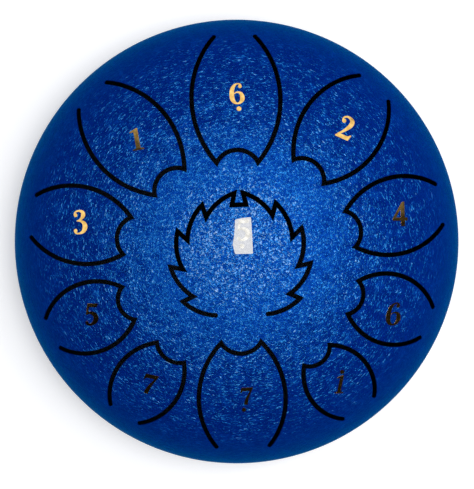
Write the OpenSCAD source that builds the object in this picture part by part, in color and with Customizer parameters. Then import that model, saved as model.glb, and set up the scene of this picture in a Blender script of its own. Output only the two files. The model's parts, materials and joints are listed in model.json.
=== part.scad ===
// Steel tongue drum: two pressed steel domes welded at the rim, with eleven tongues cut in the
// upper one, and a sound hole and four rubber feet under the lower one.
// Millimetres, +Z up, +Y away from the player. The origin is on the floor, under the drum's middle.

/* [Domes] */
// Outer diameter of the drum at its rim
drum_d = 254; // [220:1:300]
// Radius of the shallow crown of each dome
crown_r = 190; // [170:1:230]
// Radius of the shoulder that turns the crown down to the rim
shoulder_r = 46; // [36:1:56]
// Height of the upright wall at the rim of each dome
skirt_h = 3; // [2:0.5:8]
// Thickness of the sheet steel
wall = 2; // [1.5:0.1:3]

/* [Tongues] */
// Width of the slots that free the tongues
slot_w = 2.4; // [1.4:0.1:3]
// Distance of the outer slots' ends from the rim, seen from above
rim_land = 12.4; // [10:0.2:16]
// Width of the line that parts a tongue from the dome at its root
root_gap = 0.15; // [0.1:0.05:0.3]
// Width of the neck of the small tab at the top of the middle tongue
tab_neck_w = 1.3; // [1:0.1:2]
// Angle by which each side of that tab flares
tab_flare = 13; // [5:1:20]

/* [Sound hole] */
// Diameter of the sound hole
hole_d = 76; // [60:1:90]
// Chamfer on the outer edge of the sound hole
hole_edge = 0.6; // [0.3:0.1:1]
// Height of the sound hole's edge above the floor
floor_gap = 6; // [4:0.5:12]

/* [Seam] */
// Height of the weld bead at the rim
seam_w = 4; // [3:0.5:6]
// How far the bead stands proud of the rim
seam_proud = 0.4; // [0.2:0.1:0.8]
// Depth of the groove between the domes' bevelled edges that the weld fills
seam_root = 1.2; // [0.8:0.1:1.4]

/* [Feet] */
// Distance of each foot from the drum's axis
foot_place_r = 74; // [60:1:80]
// Diameter of a foot on the floor
foot_floor_d = 19; // [17:0.5:24]
// Diameter of a foot where it meets the dome
foot_top_d = 22; // [19:0.5:26]
// Height of the tapered part of a foot, under its straight part
foot_taper_h = 7; // [4:0.5:9]
// Rounded edge of a foot on the floor
foot_edge = 1; // [0.5:0.1:2]
// Depth of the pocket under a foot that hides the screw head
foot_pocket_h = 7; // [6:0.5:9]

/* [Fasteners] */
// Diameter of the screws
screw_d = 4; // [3:0.5:5]
// Diameter of the pan heads
head_d = 8; // [7:0.5:9]
// Height of the pan heads
head_h = 2.6; // [2:0.1:3]
// How far the screws pass their nuts
screw_past = 2.4; // [1:0.2:4]
// Diameter of the steel washers under the heads
washer_d = 10; // [9.5:0.5:12]
// Thickness of the steel washers
washer_t = 0.8; // [0.6:0.1:1.2]
// Diameter of the rubber damping washers inside the drum
damper_d = 10; // [9:0.5:12]
// Thickness of the damping washers at the screw
damper_t = 3; // [2.6:0.1:4]
// Width of the nuts across their flats
nut_w = 7; // [7:0.5:9]
// Height of the nuts' hexagon
nut_h = 3.2; // [2.5:0.1:4]
// Height of the locking collar on the nuts
collar_h = 1.6; // [1:0.1:2]

/* [Hidden] */
$fn = 128;
crown_fn = 360;
dome_fn = 180;

paint_blue = [0.03, 0.17, 0.52];
weld_blue = [0.02, 0.10, 0.34];
rubber_black = [0.08, 0.08, 0.09];
zinc_grey = [0.72, 0.73, 0.75];

// Overrun of a cut past the face that it leaves by
past = 1;
// Number of faces round the weld bead's rounded side
bead_faces = 8;
// Clearance of the screws in the parts that they pass through
screw_clear = 0.25;
// Clearance between a screw and its nut's thread
thread_clear = 0.05;
// Clearance of a washer in its pocket
washer_clear = 0.3;

// A dome's outline: a crown arc, a tangent shoulder arc and an upright skirt
drum_r = drum_d / 2;
shoulder_x = drum_r - shoulder_r;
crown_angle = asin(shoulder_x / (crown_r - shoulder_r));
// How far the crown is let into the shoulder, so that the two arcs cross and don't only touch
arc_lap = 0.001;
crown_z = skirt_h - (crown_r - shoulder_r) * cos(crown_angle) - arc_lap;
dome_h = crown_z + crown_r;
rim_z = floor_gap + crown_z + sqrt(crown_r * crown_r - hole_d * hole_d / 4);

// The slot pattern, drawn about a focus a little in front of the drum's axis. Every share is one
// of root_r, the radius of the circle on which the outer slots end.
root_r = drum_r - rim_land;
focus_share = -0.089;
focus = [0, focus_share * root_r];

// Each outer tongue: bearing in degrees, then shares for the distance of its widest place from
// the focus, its half width there, the radius of its sides, the distance of its scooped tip from
// the focus and the radius of that scoop
low_6_shares = [89.3, 0.774, 0.211, 0.488, 0.521, 0.109];
low_7_shares = [270, 0.664, 0.207, 0.405, 0.437, 0.110];
note_1_shares = [129.7, 0.779, 0.197, 0.446, 0.546, 0.107];
note_2_shares = [50.3, 0.800, 0.195, 0.394, 0.585, 0.105];
note_3_shares = [165.8, 0.784, 0.183, 0.367, 0.586, 0.107];
note_4_shares = [14.3, 0.787, 0.182, 0.353, 0.596, 0.103];
note_5_shares = [199.5, 0.760, 0.168, 0.281, 0.605, 0.097];
note_6_shares = [340.6, 0.765, 0.168, 0.269, 0.615, 0.097];
note_7_shares = [231.8, 0.735, 0.159, 0.279, 0.576, 0.109];
high_1_shares = [308, 0.761, 0.158, 0.241, 0.623, 0.095];
outer_tongue_shares = [
    low_6_shares,
    low_7_shares,
    note_1_shares,
    note_2_shares,
    note_3_shares,
    note_4_shares,
    note_5_shares,
    note_6_shares,
    note_7_shares,
    high_1_shares,
];
function bearing(t) = t[0];
function widest_x(t) = t[1] * root_r;
function half_w(t) = t[2] * root_r;
function side_r(t) = t[3] * root_r;
function scoop_x(t) = t[4] * root_r;
function scoop_r(t) = t[5] * root_r;

// The right half of the leaf-shaped middle tongue: lobes of one radius, each ended by a straight
// notch. A lobe has its centre, and a notch a point on it and its direction. The leaf stands a
// little to the right of the drum's axis.
leaf_x_share = 0.007;
lobe_r_share = 0.244;
lobe_shares = [[0.104, -0.097], [0.092, -0.045], [0.054, -0.006], [0.001, 0.003]];
notch_shares = [[0.252, -0.261], [0.298, -0.114], [0.266, 0.035], [0.163, 0.148]];
notch_angles = [-25.5, 11, 43, 73];
top_lobe_share = [-0.056, -0.003];
core_y_share = -0.070;
core_r_share = 0.209;
leaf_root_share = 0.122;
tab_end_share = 0.184;
lobe_r = lobe_r_share * root_r;
top_lobe = top_lobe_share * root_r;
leaf_x = leaf_x_share * root_r;
leaf_root_x = leaf_root_share * root_r;
first_lobe = lobe_shares[0] * root_r;
leaf_root_y = first_lobe.y - sqrt(lobe_r * lobe_r - pow(leaf_root_x - first_lobe.x, 2));
tab_end_y = tab_end_share * root_r;
tab_neck_y = top_lobe.y + sqrt(pow(lobe_r + slot_w / 2, 2) - top_lobe.x * top_lobe.x);

// Where the outline of two circles meets, on the left of the line from the first to the second
function circles_meet(c1, r1, c2, r2) =
    let (d = norm(c2 - c1), a = (d * d + r1 * r1 - r2 * r2) / (2 * d), along = (c2 - c1) / d)
    c1 + a * along + sqrt(r1 * r1 - a * a) * [-along.y, along.x];

// The ends of a tongue's two slots, in the tongue's own directions about the focus: side is 1 for
// the left slot and -1 for the right one
function axis_place(t) = -focus.y * [sin(bearing(t)), cos(bearing(t))];
function side_centre(t, side) = [widest_x(t), -side * (side_r(t) - half_w(t))];
function mirrored(p) = [p.x, -p.y];
function left_end(t) = circles_meet(axis_place(t), root_r, side_centre(t, 1), side_r(t));
function right_end(t) =
    mirrored(circles_meet(mirrored(axis_place(t)), root_r, mirrored(side_centre(t, -1)), side_r(t)));
function slot_end(t, side) = side > 0 ? left_end(t) : right_end(t);

// Heights on the lower dome, and the feet on it
function underside_z(r, inset) = rim_z - crown_z - sqrt(pow(crown_r - inset, 2) - r * r);
foot_bearing = 45;
foot_top_z = underside_z(foot_place_r + foot_top_d / 2, 0) + past;
head_z = foot_pocket_h - washer_t;
damper_z = underside_z(foot_place_r, wall) + damper_t;
screw_tip_z = damper_z + nut_h + collar_h + screw_past;
pocket_d = washer_d + 2 * washer_clear;
screw_hole_d = screw_d + 2 * screw_clear;

// Half of a dome's outline, filled to the axis, with every face drawn in by inset
module dome_outline(inset) {
    intersection() {
        translate([0, crown_z]) circle(crown_r - inset, $fn = crown_fn);
        union() {
            polygon([
                [0, crown_z],
                [2 * crown_r * sin(crown_angle), crown_z + 2 * crown_r * cos(crown_angle)],
                [0, crown_z + 2 * crown_r],
            ]);
            translate([shoulder_x, skirt_h]) circle(shoulder_r - inset);
            square([shoulder_x, skirt_h + (shoulder_r - inset) * cos(crown_angle)]);
            square([drum_r - inset, skirt_h]);
        }
        square([drum_r, dome_h]);
    }
}

// A dome's wall, with its edge bevelled for the weld
module dome_section() {
    difference() {
        dome_outline(0);
        dome_outline(wall);
        polygon([[drum_r - seam_root, 0], [drum_r, 0], [drum_r, seam_root]]);
    }
}

module dome() {
    rotate_extrude($fn = dome_fn) dome_section();
}

// The lower dome filled up to the rim, with its faces drawn in by inset
module lower_dome_filled(inset) {
    translate([0, 0, rim_z]) mirror([0, 0, 1]) rotate_extrude() dome_outline(inset);
}

// A tongue drawn along +X from the focus, with its edge moved out by grow
module petal(t, grow) {
    difference() {
        intersection_for (side = [-1, 1])
            translate(side_centre(t, side)) circle(side_r(t) + grow);
        translate([scoop_x(t) - scoop_r(t), 0]) circle(scoop_r(t) - grow);
    }
}

// Everything on the tip's side of the line between a tongue's slot ends, moved in by inset
module tip_side(t, inset) {
    root = slot_end(t, 1) - slot_end(t, -1);
    translate(slot_end(t, -1)) rotate(atan2(root.y, root.x))
        translate([-drum_r, inset]) square([drum_d, drum_d]);
}

module at_tongue(t) {
    translate(focus) rotate(bearing(t)) children();
}

module tongue_outline(t) {
    at_tongue(t) intersection() {
        petal(t, -slot_w / 2);
        tip_side(t, root_gap / 2);
    }
}

// The opening round a tongue: the tongue, its slots with their round ends and the root line
module tongue_opening(t) {
    at_tongue(t) {
        intersection() {
            petal(t, slot_w / 2);
            tip_side(t, -root_gap / 2);
        }
        for (side = [-1, 1]) translate(slot_end(t, side)) circle(d = slot_w);
    }
}

// One lobe of the leaf, cut off along its notch
module lobe(centre, notch, angle, grow) {
    intersection() {
        translate(centre) circle(lobe_r + grow);
        translate(notch) rotate(angle) translate([-drum_r, grow - drum_d]) square([drum_d, drum_d]);
    }
}

// The whole leaf, with its edge moved out by grow
module leaf(grow) {
    for (side = [0, 1]) mirror([side, 0]) {
        for (i = [0:len(lobe_shares) - 1])
            lobe(lobe_shares[i] * root_r, notch_shares[i] * root_r, notch_angles[i], grow);
        intersection() {
            translate(top_lobe) circle(lobe_r + grow);
            translate([0, -drum_r]) square([drum_r, drum_d]);
        }
    }
    translate([0, core_y_share * root_r]) circle(core_r_share * root_r);
}

// The foot of the leaf between its two slot ends, down to its root line
module leaf_foot(inset) {
    translate([-leaf_root_x, leaf_root_y + inset]) square([2 * leaf_root_x, lobe_r / 2]);
}

module leaf_slot_ends() {
    for (side = [-1, 1]) translate([side * leaf_root_x, leaf_root_y]) circle(d = slot_w);
}

// The flared tab that hangs from the dome into the leaf, with its edge moved out by grow
module tab(grow) {
    top_y = tab_neck_y + tab_neck_w;
    end_y = tab_end_y - grow;
    top_x = tab_neck_w / 2 - tab_neck_w * tan(tab_flare) + grow / cos(tab_flare);
    end_x = tab_neck_w / 2 + (tab_neck_y - end_y) * tan(tab_flare) + grow / cos(tab_flare);
    polygon([[-top_x, top_y], [-end_x, end_y], [end_x, end_y], [top_x, top_y]]);
}

module leaf_outline() {
    translate([leaf_x, 0]) difference() {
        union() {
            leaf(-slot_w / 2);
            leaf_foot(root_gap / 2);
        }
        leaf_slot_ends();
        tab(slot_w);
    }
}

module leaf_opening() {
    translate([leaf_x, 0]) difference() {
        union() {
            difference() {
                leaf(slot_w / 2);
                translate([-leaf_root_x, leaf_root_y - lobe_r]) square([2 * leaf_root_x, lobe_r]);
            }
            leaf_foot(-root_gap / 2);
            leaf_slot_ends();
        }
        tab(0);
    }
}

// Everything that stands over an outline, through the upper dome
module through_top() {
    translate([0, 0, -past]) linear_extrude(dome_h + 2 * past) children();
}

module top_shell() {
    color(paint_blue) translate([0, 0, rim_z]) difference() {
        dome();
        through_top() leaf_opening();
        for (t = outer_tongue_shares) through_top() tongue_opening(t);
    }
}

// The piece of the upper dome over an outline
module cut_tongue() {
    color(paint_blue) translate([0, 0, rim_z]) intersection() {
        dome();
        through_top() children();
    }
}

module tongue_low_5() {
    cut_tongue() leaf_outline();
}

module tongue_low_6() {
    cut_tongue() tongue_outline(low_6_shares);
}

module tongue_low_7() {
    cut_tongue() tongue_outline(low_7_shares);
}

module tongue_1() {
    cut_tongue() tongue_outline(note_1_shares);
}

module tongue_2() {
    cut_tongue() tongue_outline(note_2_shares);
}

module tongue_3() {
    cut_tongue() tongue_outline(note_3_shares);
}

module tongue_4() {
    cut_tongue() tongue_outline(note_4_shares);
}

module tongue_5() {
    cut_tongue() tongue_outline(note_5_shares);
}

module tongue_6() {
    cut_tongue() tongue_outline(note_6_shares);
}

module tongue_7() {
    cut_tongue() tongue_outline(note_7_shares);
}

module tongue_high_1() {
    cut_tongue() tongue_outline(high_1_shares);
}

module at_foot(quarter) {
    rotate(foot_bearing + 90 * quarter) translate([foot_place_r, 0]) children();
}

module at_feet() {
    for (quarter = [0:3]) at_foot(quarter) children();
}

// The section of the sound hole with its chamfered outer edge, on a dome that points up
module hole_section() {
    hole_r = hole_d / 2;
    edge_z = rim_z - floor_gap;
    square([hole_r, dome_h + past]);
    polygon([
        [hole_r, edge_z - hole_edge],
        [hole_r + hole_edge + past, edge_z + past],
        [hole_r, edge_z + past],
    ]);
}

module bottom_shell() {
    color(paint_blue) difference() {
        translate([0, 0, rim_z]) mirror([0, 0, 1]) rotate_extrude() difference() {
            dome_section();
            hole_section();
        }
        at_feet() cylinder(d = screw_hole_d, h = rim_z / 2);
    }
}

// The weld: a low bead round the rim with its root in the groove
module seam_weld() {
    bead = [
        for (i = [0:bead_faces])
            let (t = 2 * i / bead_faces - 1) [drum_r + seam_proud * (1 - t * t), t * seam_w / 2]
    ];
    color(weld_blue) translate([0, 0, rim_z]) rotate_extrude()
        polygon(concat([[drum_r - seam_root, 0], [drum_r, -seam_root]], bead, [[drum_r, seam_root]]));
}

// An upright rubber foot, its top moulded to the slope of the dome
module foot(quarter) {
    color(rubber_black) difference() {
        at_foot(quarter) difference() {
            rotate_extrude() polygon([
                [0, 0],
                [foot_floor_d / 2 - foot_edge, 0],
                [foot_floor_d / 2, foot_edge],
                [foot_top_d / 2, foot_taper_h],
                [foot_top_d / 2, foot_top_z],
                [0, foot_top_z],
            ]);
            translate([0, 0, -past]) cylinder(d = pocket_d, h = foot_pocket_h + past);
            cylinder(d = screw_hole_d, h = foot_top_z + past);
        }
        lower_dome_filled(0);
    }
}

module foot_back_right() {
    foot(0);
}

module foot_back_left() {
    foot(1);
}

module foot_front_left() {
    foot(2);
}

module foot_front_right() {
    foot(3);
}

// Pan-head screws with a cross recess, heads down
module foot_screws() {
    head_ball_r = (head_d * head_d / 4 + head_h * head_h) / (2 * head_h);
    recess = [head_d / 2, head_h / 3, head_h / 2];
    color(zinc_grey) at_feet() {
        difference() {
            intersection() {
                translate([0, 0, head_z - head_h + head_ball_r]) sphere(head_ball_r);
                translate([0, 0, head_z - head_h]) cylinder(d = head_d, h = head_h);
            }
            for (turn = [0, 90]) rotate(turn)
                translate([-recess.x / 2, -recess.y / 2, head_z - head_h - past])
                    cube([recess.x, recess.y, recess.z + past]);
        }
        translate([0, 0, head_z]) cylinder(d = screw_d, h = screw_tip_z - screw_d / 4 - head_z);
        translate([0, 0, screw_tip_z - screw_d / 4])
            cylinder(d1 = screw_d, d2 = screw_d / 2, h = screw_d / 4);
    }
}

module foot_washers() {
    color(zinc_grey) at_feet() translate([0, 0, head_z]) difference() {
        cylinder(d = washer_d, h = washer_t);
        translate([0, 0, -past]) cylinder(d = screw_hole_d, h = washer_t + 2 * past);
    }
}

// Rubber washers, moulded to the dome's inside and flat under the nuts
module damping_washers() {
    color(rubber_black) intersection() {
        at_feet() difference() {
            cylinder(d = damper_d, h = damper_z);
            translate([0, 0, -past]) cylinder(d = screw_hole_d, h = damper_z + 2 * past);
        }
        lower_dome_filled(wall);
    }
}

// Hexagon nuts with a round locking collar on top
module foot_nuts() {
    color(zinc_grey) at_feet() translate([0, 0, damper_z]) difference() {
        union() {
            cylinder(d = nut_w / cos(30), h = nut_h, $fn = 6);
            cylinder(d = nut_w - collar_h / 2, h = nut_h + collar_h);
        }
        translate([0, 0, -past]) cylinder(d = screw_d + 2 * thread_clear, h = nut_h + collar_h + 2 * past);
    }
}

top_shell();
tongue_low_5();
tongue_low_6();
tongue_low_7();
tongue_1();
tongue_2();
tongue_3();
tongue_4();
tongue_5();
tongue_6();
tongue_7();
tongue_high_1();
bottom_shell();
seam_weld();
foot_back_left();
foot_back_right();
foot_front_left();
foot_front_right();
foot_screws();
foot_washers();
damping_washers();
foot_nuts();
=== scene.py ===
import json
import math

import bpy
import numpy as np
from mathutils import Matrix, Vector, kdtree
from mathutils.geometry import delaunay_2d_cdt


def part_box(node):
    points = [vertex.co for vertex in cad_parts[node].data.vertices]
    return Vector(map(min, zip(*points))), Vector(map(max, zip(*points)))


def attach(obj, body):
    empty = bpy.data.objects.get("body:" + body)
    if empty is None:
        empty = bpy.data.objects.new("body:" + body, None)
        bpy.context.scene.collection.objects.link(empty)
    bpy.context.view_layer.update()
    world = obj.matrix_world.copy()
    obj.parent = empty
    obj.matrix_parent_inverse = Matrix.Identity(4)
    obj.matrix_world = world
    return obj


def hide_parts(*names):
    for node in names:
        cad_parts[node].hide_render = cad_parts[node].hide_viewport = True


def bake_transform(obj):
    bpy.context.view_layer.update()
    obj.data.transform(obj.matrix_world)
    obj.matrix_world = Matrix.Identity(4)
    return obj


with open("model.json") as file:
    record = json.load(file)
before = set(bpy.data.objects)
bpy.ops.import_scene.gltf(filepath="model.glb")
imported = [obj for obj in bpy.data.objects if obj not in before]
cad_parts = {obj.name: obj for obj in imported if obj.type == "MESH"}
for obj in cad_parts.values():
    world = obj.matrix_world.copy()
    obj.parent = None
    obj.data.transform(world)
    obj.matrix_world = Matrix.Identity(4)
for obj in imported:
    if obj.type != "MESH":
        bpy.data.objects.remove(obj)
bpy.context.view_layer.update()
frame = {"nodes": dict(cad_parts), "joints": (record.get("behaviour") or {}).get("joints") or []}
scene = bpy.context.scene

# lengths are in metres and colours are linear
perMetre = 1000  # millimetres
microns = 1e6  # in a metre
tiny = 1e-9  # keeps a division away from zero
rowLength, stepAcross, stepDown = 12, 190, 240  # how a sheet's nodes are laid out


# node maths: arithmetic on a Wire adds Math nodes, and Sheet.node makes any other node
class Wire:
    def __init__(self, sheet, socket):
        self.sheet = sheet
        self.socket = socket

    def maths(self, operation, *others):
        return self.sheet.maths(operation, self, *others)

    def __add__(self, other):
        return self.maths("ADD", other)

    __radd__ = __add__

    def __sub__(self, other):
        return self.maths("SUBTRACT", other)

    def __rsub__(self, other):
        return self.sheet.maths("SUBTRACT", other, self)

    def __mul__(self, other):
        return self.maths("MULTIPLY", other)

    __rmul__ = __mul__

    def __truediv__(self, other):
        return self.maths("DIVIDE", other)

    def __rtruediv__(self, other):
        return self.sheet.maths("DIVIDE", other, self)

    def sine(self):
        return self.maths("SINE")

    def cosine(self):
        return self.maths("COSINE")

    def lower(self, other):
        return self.maths("MINIMUM", other)

    def higher(self, other):
        return self.maths("MAXIMUM", other)

    def ramp(self, low, high, start=0.0, end=1.0):
        smooth = {"interpolation_type": "SMOOTHSTEP"}
        return self.sheet.node("ShaderNodeMapRange", smooth, {0: self, 1: low, 2: high, 3: start, 4: end})


class Sheet:
    def __init__(self, tree):
        self.tree = tree
        self.count = 0

    def node(self, kind, settings=None, inputs=None, output=0):
        made = self.tree.nodes.new(kind)
        made.location = (self.count % rowLength * stepAcross, -(self.count // rowLength) * stepDown)
        self.count += 1
        for name, value in (settings or {}).items():
            setattr(made, name, value)
        for name, value in (inputs or {}).items():
            if isinstance(value, Wire):
                self.tree.links.new(value.socket, made.inputs[name])
            else:
                made.inputs[name].default_value = value
        if output is None:
            return made
        return Wire(self, made.outputs[output])

    def maths(self, operation, *values):
        return self.node("ShaderNodeMath", {"operation": operation}, dict(enumerate(values)))

    def mix(self, factor, first, second):
        return self.node("ShaderNodeMix", {"data_type": "RGBA"}, {"Factor": factor, 6: first, 7: second}, 2)

    def noise(self, vector, scale, detail, roughness, distortion=0.0):
        inputs = {"Vector": vector, "Scale": scale, "Detail": detail, "Roughness": roughness}
        return self.node("ShaderNodeTexNoise", inputs={**inputs, "Distortion": distortion})

    def bump(self, height, strength, distance):
        inputs = {"Height": height, "Strength": strength, "Distance": distance}
        return self.node("ShaderNodeBump", inputs=inputs)

    def cover(self, geometry, material, selection=True):
        inputs = {"Geometry": geometry, "Selection": selection, "Material": material}
        return self.node("GeometryNodeSetMaterial", inputs=inputs)

    def split(self, vector):
        apart = self.node("ShaderNodeSeparateXYZ", inputs={0: vector}, output=None)
        return [Wire(self, socket) for socket in apart.outputs]

    def join(self, x, y, z):
        return self.node("ShaderNodeCombineXYZ", inputs={0: x, 1: y, 2: z})

    def ray(self, *names):
        # 1 for a ray of any of the kinds named
        path = self.node("ShaderNodeLightPath", output=None)
        rays = [Wire(self, path.outputs[f"Is {name} Ray"]) for name in names]
        for other in rays[1:]:
            rays[0] = rays[0].higher(other)
        return rays[0]


# camera: from above, a little left of the drum's middle, as the photograph has it
camera = {
    "place": (-0.01486, 0.00542, 1.0761),
    "roll": -1.6,  # degrees
    "lens": 127.87,  # millimetres, as the sensor
    "sensor": 36.0,
    "shift": (0.0545, -0.0241),
    "clip": (0.05, 30.0),
}


def placeCamera():
    eye = bpy.data.objects.new("camera", bpy.data.cameras.new("camera"))
    scene.collection.objects.link(eye)
    eye.location = camera["place"]
    eye.rotation_euler = (0.0, 0.0, math.radians(camera["roll"]))
    eye.data.sensor_width = camera["sensor"]
    eye.data.lens = camera["lens"]
    eye.data.shift_x, eye.data.shift_y = camera["shift"]
    eye.data.clip_start, eye.data.clip_end = camera["clip"]
    scene.camera = eye


placeCamera()
print("camera placed")


# the rule of both domes: a crown of one radius, a rolled shoulder and a short upright skirt
dome = {
    "drumRadius": 0.127,
    "crownRadius": 0.190,
    "shoulderRadius": 0.046,
    "skirt": 0.003,
    "wall": 0.002,
    "groove": 0.0012,  # under the weld
    "rimHeight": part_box("top_shell")[0].z,
    "rimSteps": 480,
    "soundHole": 0.038,
    "soundHoleSteps": 160,
}
shoulderX = dome["drumRadius"] - dome["shoulderRadius"]
crownTurn = math.asin(shoulderX / (dome["crownRadius"] - dome["shoulderRadius"]))
crownZ = dome["skirt"] - (dome["crownRadius"] - dome["shoulderRadius"]) * math.cos(crownTurn)
crownEnd = dome["crownRadius"] * crownTurn
shoulderEnd = crownEnd + dome["shoulderRadius"] * (math.pi / 2 - crownTurn)


def surfaceDepth(radius, height):
    # how deep points lie under the painted surface, from their radius and height above the rim
    turn = np.arctan2(radius, height - crownZ)
    crown = dome["crownRadius"] - np.hypot(radius, height - crownZ)
    shoulder = dome["shoulderRadius"] - np.hypot(radius - shoulderX, height - dome["skirt"])
    skirt = dome["drumRadius"] - radius
    return np.where(turn <= crownTurn, crown, np.where(height >= dome["skirt"], shoulder, skirt))


def unroll(plan, depth):
    # plan points at a depth under the surface, as flat points measured along the surface from the pole
    plan = np.asarray(plan, float).reshape(-1, 2)
    radius = np.hypot(plan[:, 0], plan[:, 1])
    depth = np.broadcast_to(np.asarray(depth, float), radius.shape)
    crown = np.arcsin(np.clip(radius / (dome["crownRadius"] - depth), 0, 1))
    shoulder = np.arcsin(np.clip((radius - shoulderX) / (dome["shoulderRadius"] - depth), -1, 1))
    along = np.where(
        crown <= crownTurn,
        dome["crownRadius"] * crown,
        crownEnd + dome["shoulderRadius"] * (shoulder - crownTurn),
    )
    stretch = np.where(radius > tiny, along / np.maximum(radius, tiny), 1.0)
    return plan * stretch[:, None]


def circle(steps):
    turn = np.arange(steps) * 2 * math.pi / steps
    return np.column_stack((np.cos(turn), np.sin(turn)))


def turned(points, degrees):
    spin = math.radians(degrees)
    return points @ np.array([[math.cos(spin), math.sin(spin)], [-math.sin(spin), math.cos(spin)]])


def newTree(name, **sockets):
    # a geometry nodes group, its sheet, and the wires of its inputs, which are named by kind
    tree = bpy.data.node_groups.new(name, "GeometryNodeTree")
    face = tree.interface
    face.new_socket("Geometry", in_out="INPUT", socket_type="NodeSocketGeometry")
    for kind, names in sockets.items():
        for socket in names:
            face.new_socket(socket, in_out="INPUT", socket_type="NodeSocket" + kind)
    face.new_socket("Geometry", in_out="OUTPUT", socket_type="NodeSocketGeometry")
    sheet = Sheet(tree)
    given = sheet.node("NodeGroupInput", output=None)
    return tree, sheet, {s.name: Wire(sheet, s) for s in given.outputs if s.name}


# geometry nodes that lay a flat sheet, whose z is its depth, over a dome
def domeWrapTree():
    tree, sheet, wire = newTree(
        "dome wrap",
        Float=("Crown Radius", "Shoulder Radius", "Crown Turn", "Skirt", "Rim Height", "Side"),
        Material=("Outside", "Inside"),
    )
    crown, shoulder, side = wire["Crown Radius"], wire["Shoulder Radius"], wire["Side"]
    across, along, depth = sheet.split(sheet.node("GeometryNodeInputPosition"))
    reach = (across * across + along * along).maths("SQRT").higher(tiny)
    crownPart = reach.lower(crown * wire["Crown Turn"])
    turn = crownPart / crown
    bend = (reach - crownPart) / shoulder
    tilt = (turn + bend).lower(math.pi / 2)
    drop = (reach - crownPart - (math.pi / 2 - wire["Crown Turn"]) * shoulder).higher(0.0)
    core = crown - shoulder
    radius = core * turn.sine() + (shoulder - depth) * tilt.sine()
    height = wire["Skirt"] + core * (turn.cosine() - wire["Crown Turn"].cosine())
    height = height + (shoulder - depth) * tilt.cosine() - drop
    x, y, slope = across / reach, along / reach, tilt.sine()
    spot = sheet.join(x * radius, y * radius, wire["Rim Height"] + side * height)
    outward = sheet.join(x * slope, y * slope, side * tilt.cosine())
    noted = sheet.node(
        "GeometryNodeStoreNamedAttribute",
        {"data_type": "FLOAT_VECTOR", "domain": "POINT"},
        {"Geometry": wire["Geometry"], "Name": "outward", "Value": outward},
    )
    moved = sheet.node("GeometryNodeSetPosition", inputs={"Geometry": noted, "Position": spot})
    solid = sheet.node("GeometryNodeRealizeInstances", inputs={0: moved})
    bare = sheet.node("GeometryNodeInputNamedAttribute", {"data_type": "BOOLEAN"}, {"Name": "inside"})
    both = sheet.cover(sheet.cover(solid, wire["Outside"]), wire["Inside"], bare)
    sheet.node("NodeGroupOutput", inputs={0: both}, output=None)
    return tree


domeWrap = domeWrapTree()


def runNodes(name, mesh, tree, values):
    # a mesh sent through a geometry nodes group, and the result as a plain mesh on an object of its own
    maker = bpy.data.objects.new(name + "_maker", mesh)
    scene.collection.objects.link(maker)
    modifier = maker.modifiers.new("maker", "NODES")
    modifier.node_group = tree
    for item in tree.interface.items_tree:
        if item.in_out == "INPUT" and item.name in values:
            modifier[item.identifier] = values[item.name]
    bpy.context.view_layer.update()
    depsgraph = bpy.context.evaluated_depsgraph_get()
    mesh = bpy.data.meshes.new_from_object(maker.evaluated_get(depsgraph), depsgraph=depsgraph)
    mesh.name = name
    bpy.data.objects.remove(maker)
    made = bpy.data.objects.new(name, mesh)
    scene.collection.objects.link(made)
    return made


def readAll(items, name, width, kind=float):
    values = np.zeros(len(items) * width, kind)
    items.foreach_get(name, values)
    return values.reshape(-1, width)


def wrapOnDome(name, points, faces, inside, turns, outsideMaterial, insideMaterial, side):
    # turns holds one normal rule per face corner: how much of the dome's normal, and what is added to it
    flat = bpy.data.meshes.new(name + "_flat")
    flat.from_pydata([tuple(p) for p in points], [], faces)
    flat.attributes.new("inside", "BOOLEAN", "FACE").data.foreach_set("value", inside)
    values = {
        "Crown Radius": dome["crownRadius"],
        "Shoulder Radius": dome["shoulderRadius"],
        "Crown Turn": crownTurn,
        "Skirt": dome["skirt"],
        "Rim Height": dome["rimHeight"],
        "Side": side,
        "Outside": outsideMaterial,
        "Inside": insideMaterial,
    }
    made = runNodes(name, flat, domeWrap, values)
    mesh = made.data
    outward = readAll(mesh.attributes["outward"].data, "vector", 3)
    corners = readAll(mesh.loops, "vertex_index", 1, int)[:, 0]
    normals = outward[corners] * turns[:, :1] + turns[:, 1:]
    normals /= np.linalg.norm(normals, axis=1)[:, None]
    for used in ("outward", "inside"):
        mesh.attributes.remove(mesh.attributes[used])
    if side < 0:
        mesh.flip_normals()
        normals = flippedCorners(mesh, normals)
    mesh.shade_smooth()
    mesh.normals_split_custom_set(normals.tolist())
    return made


def flippedCorners(mesh, normals):
    # a flipped face keeps its first corner and turns the order of the others round
    ordered = normals.copy()
    for face in mesh.polygons:
        others = slice(face.loop_start + 1, face.loop_start + face.loop_total)
        ordered[others] = normals[others][::-1]
    return ordered


# outlines of the cuts, read from the frame's own solids
edge = {
    "round": 0.00035,
    "roundSteps": (0, 30, 60, 90),  # degrees
    "roundFade": 0.0012,  # from the root line to the full rounding
    "soundHoleRound": 0.0006,
    "screwHoleRound": 0.0001,
    "longest": 0.0016,  # step along an outline
    "longShare": 0.75,
    "shortest": 0.000002,
    "turn": 14.0,  # degrees from one kept point to the next
    "sharpest": 0.6,  # keeps an inset short at a sharp corner
    "gridStep": 0.0022,
    "gridClear": 0.55,  # of a step
    "mergeWithin": 1e-6,
    "offSurface": 0.00004,
    "offCircle": 0.0001,  # tells the sound hole from the rest
    "rimBand": 0.001,
    "rootTouch": 0.0002,
    "rootPast": 0.0003,
    "rootBlend": 0.006,  # length over which a tongue's skin starts to follow its hinge
}


def walkLoops(ahead):
    # closed loops of point numbers, from the points that follow each point
    loops = []
    while ahead:
        start = next(iter(ahead))
        loop = [start]
        while True:
            here = loop[-1]
            following = ahead[here].pop()
            if not ahead[here]:
                del ahead[here]
            if following == start:
                break
            loop.append(following)
        loops.append(loop)
    return loops


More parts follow.
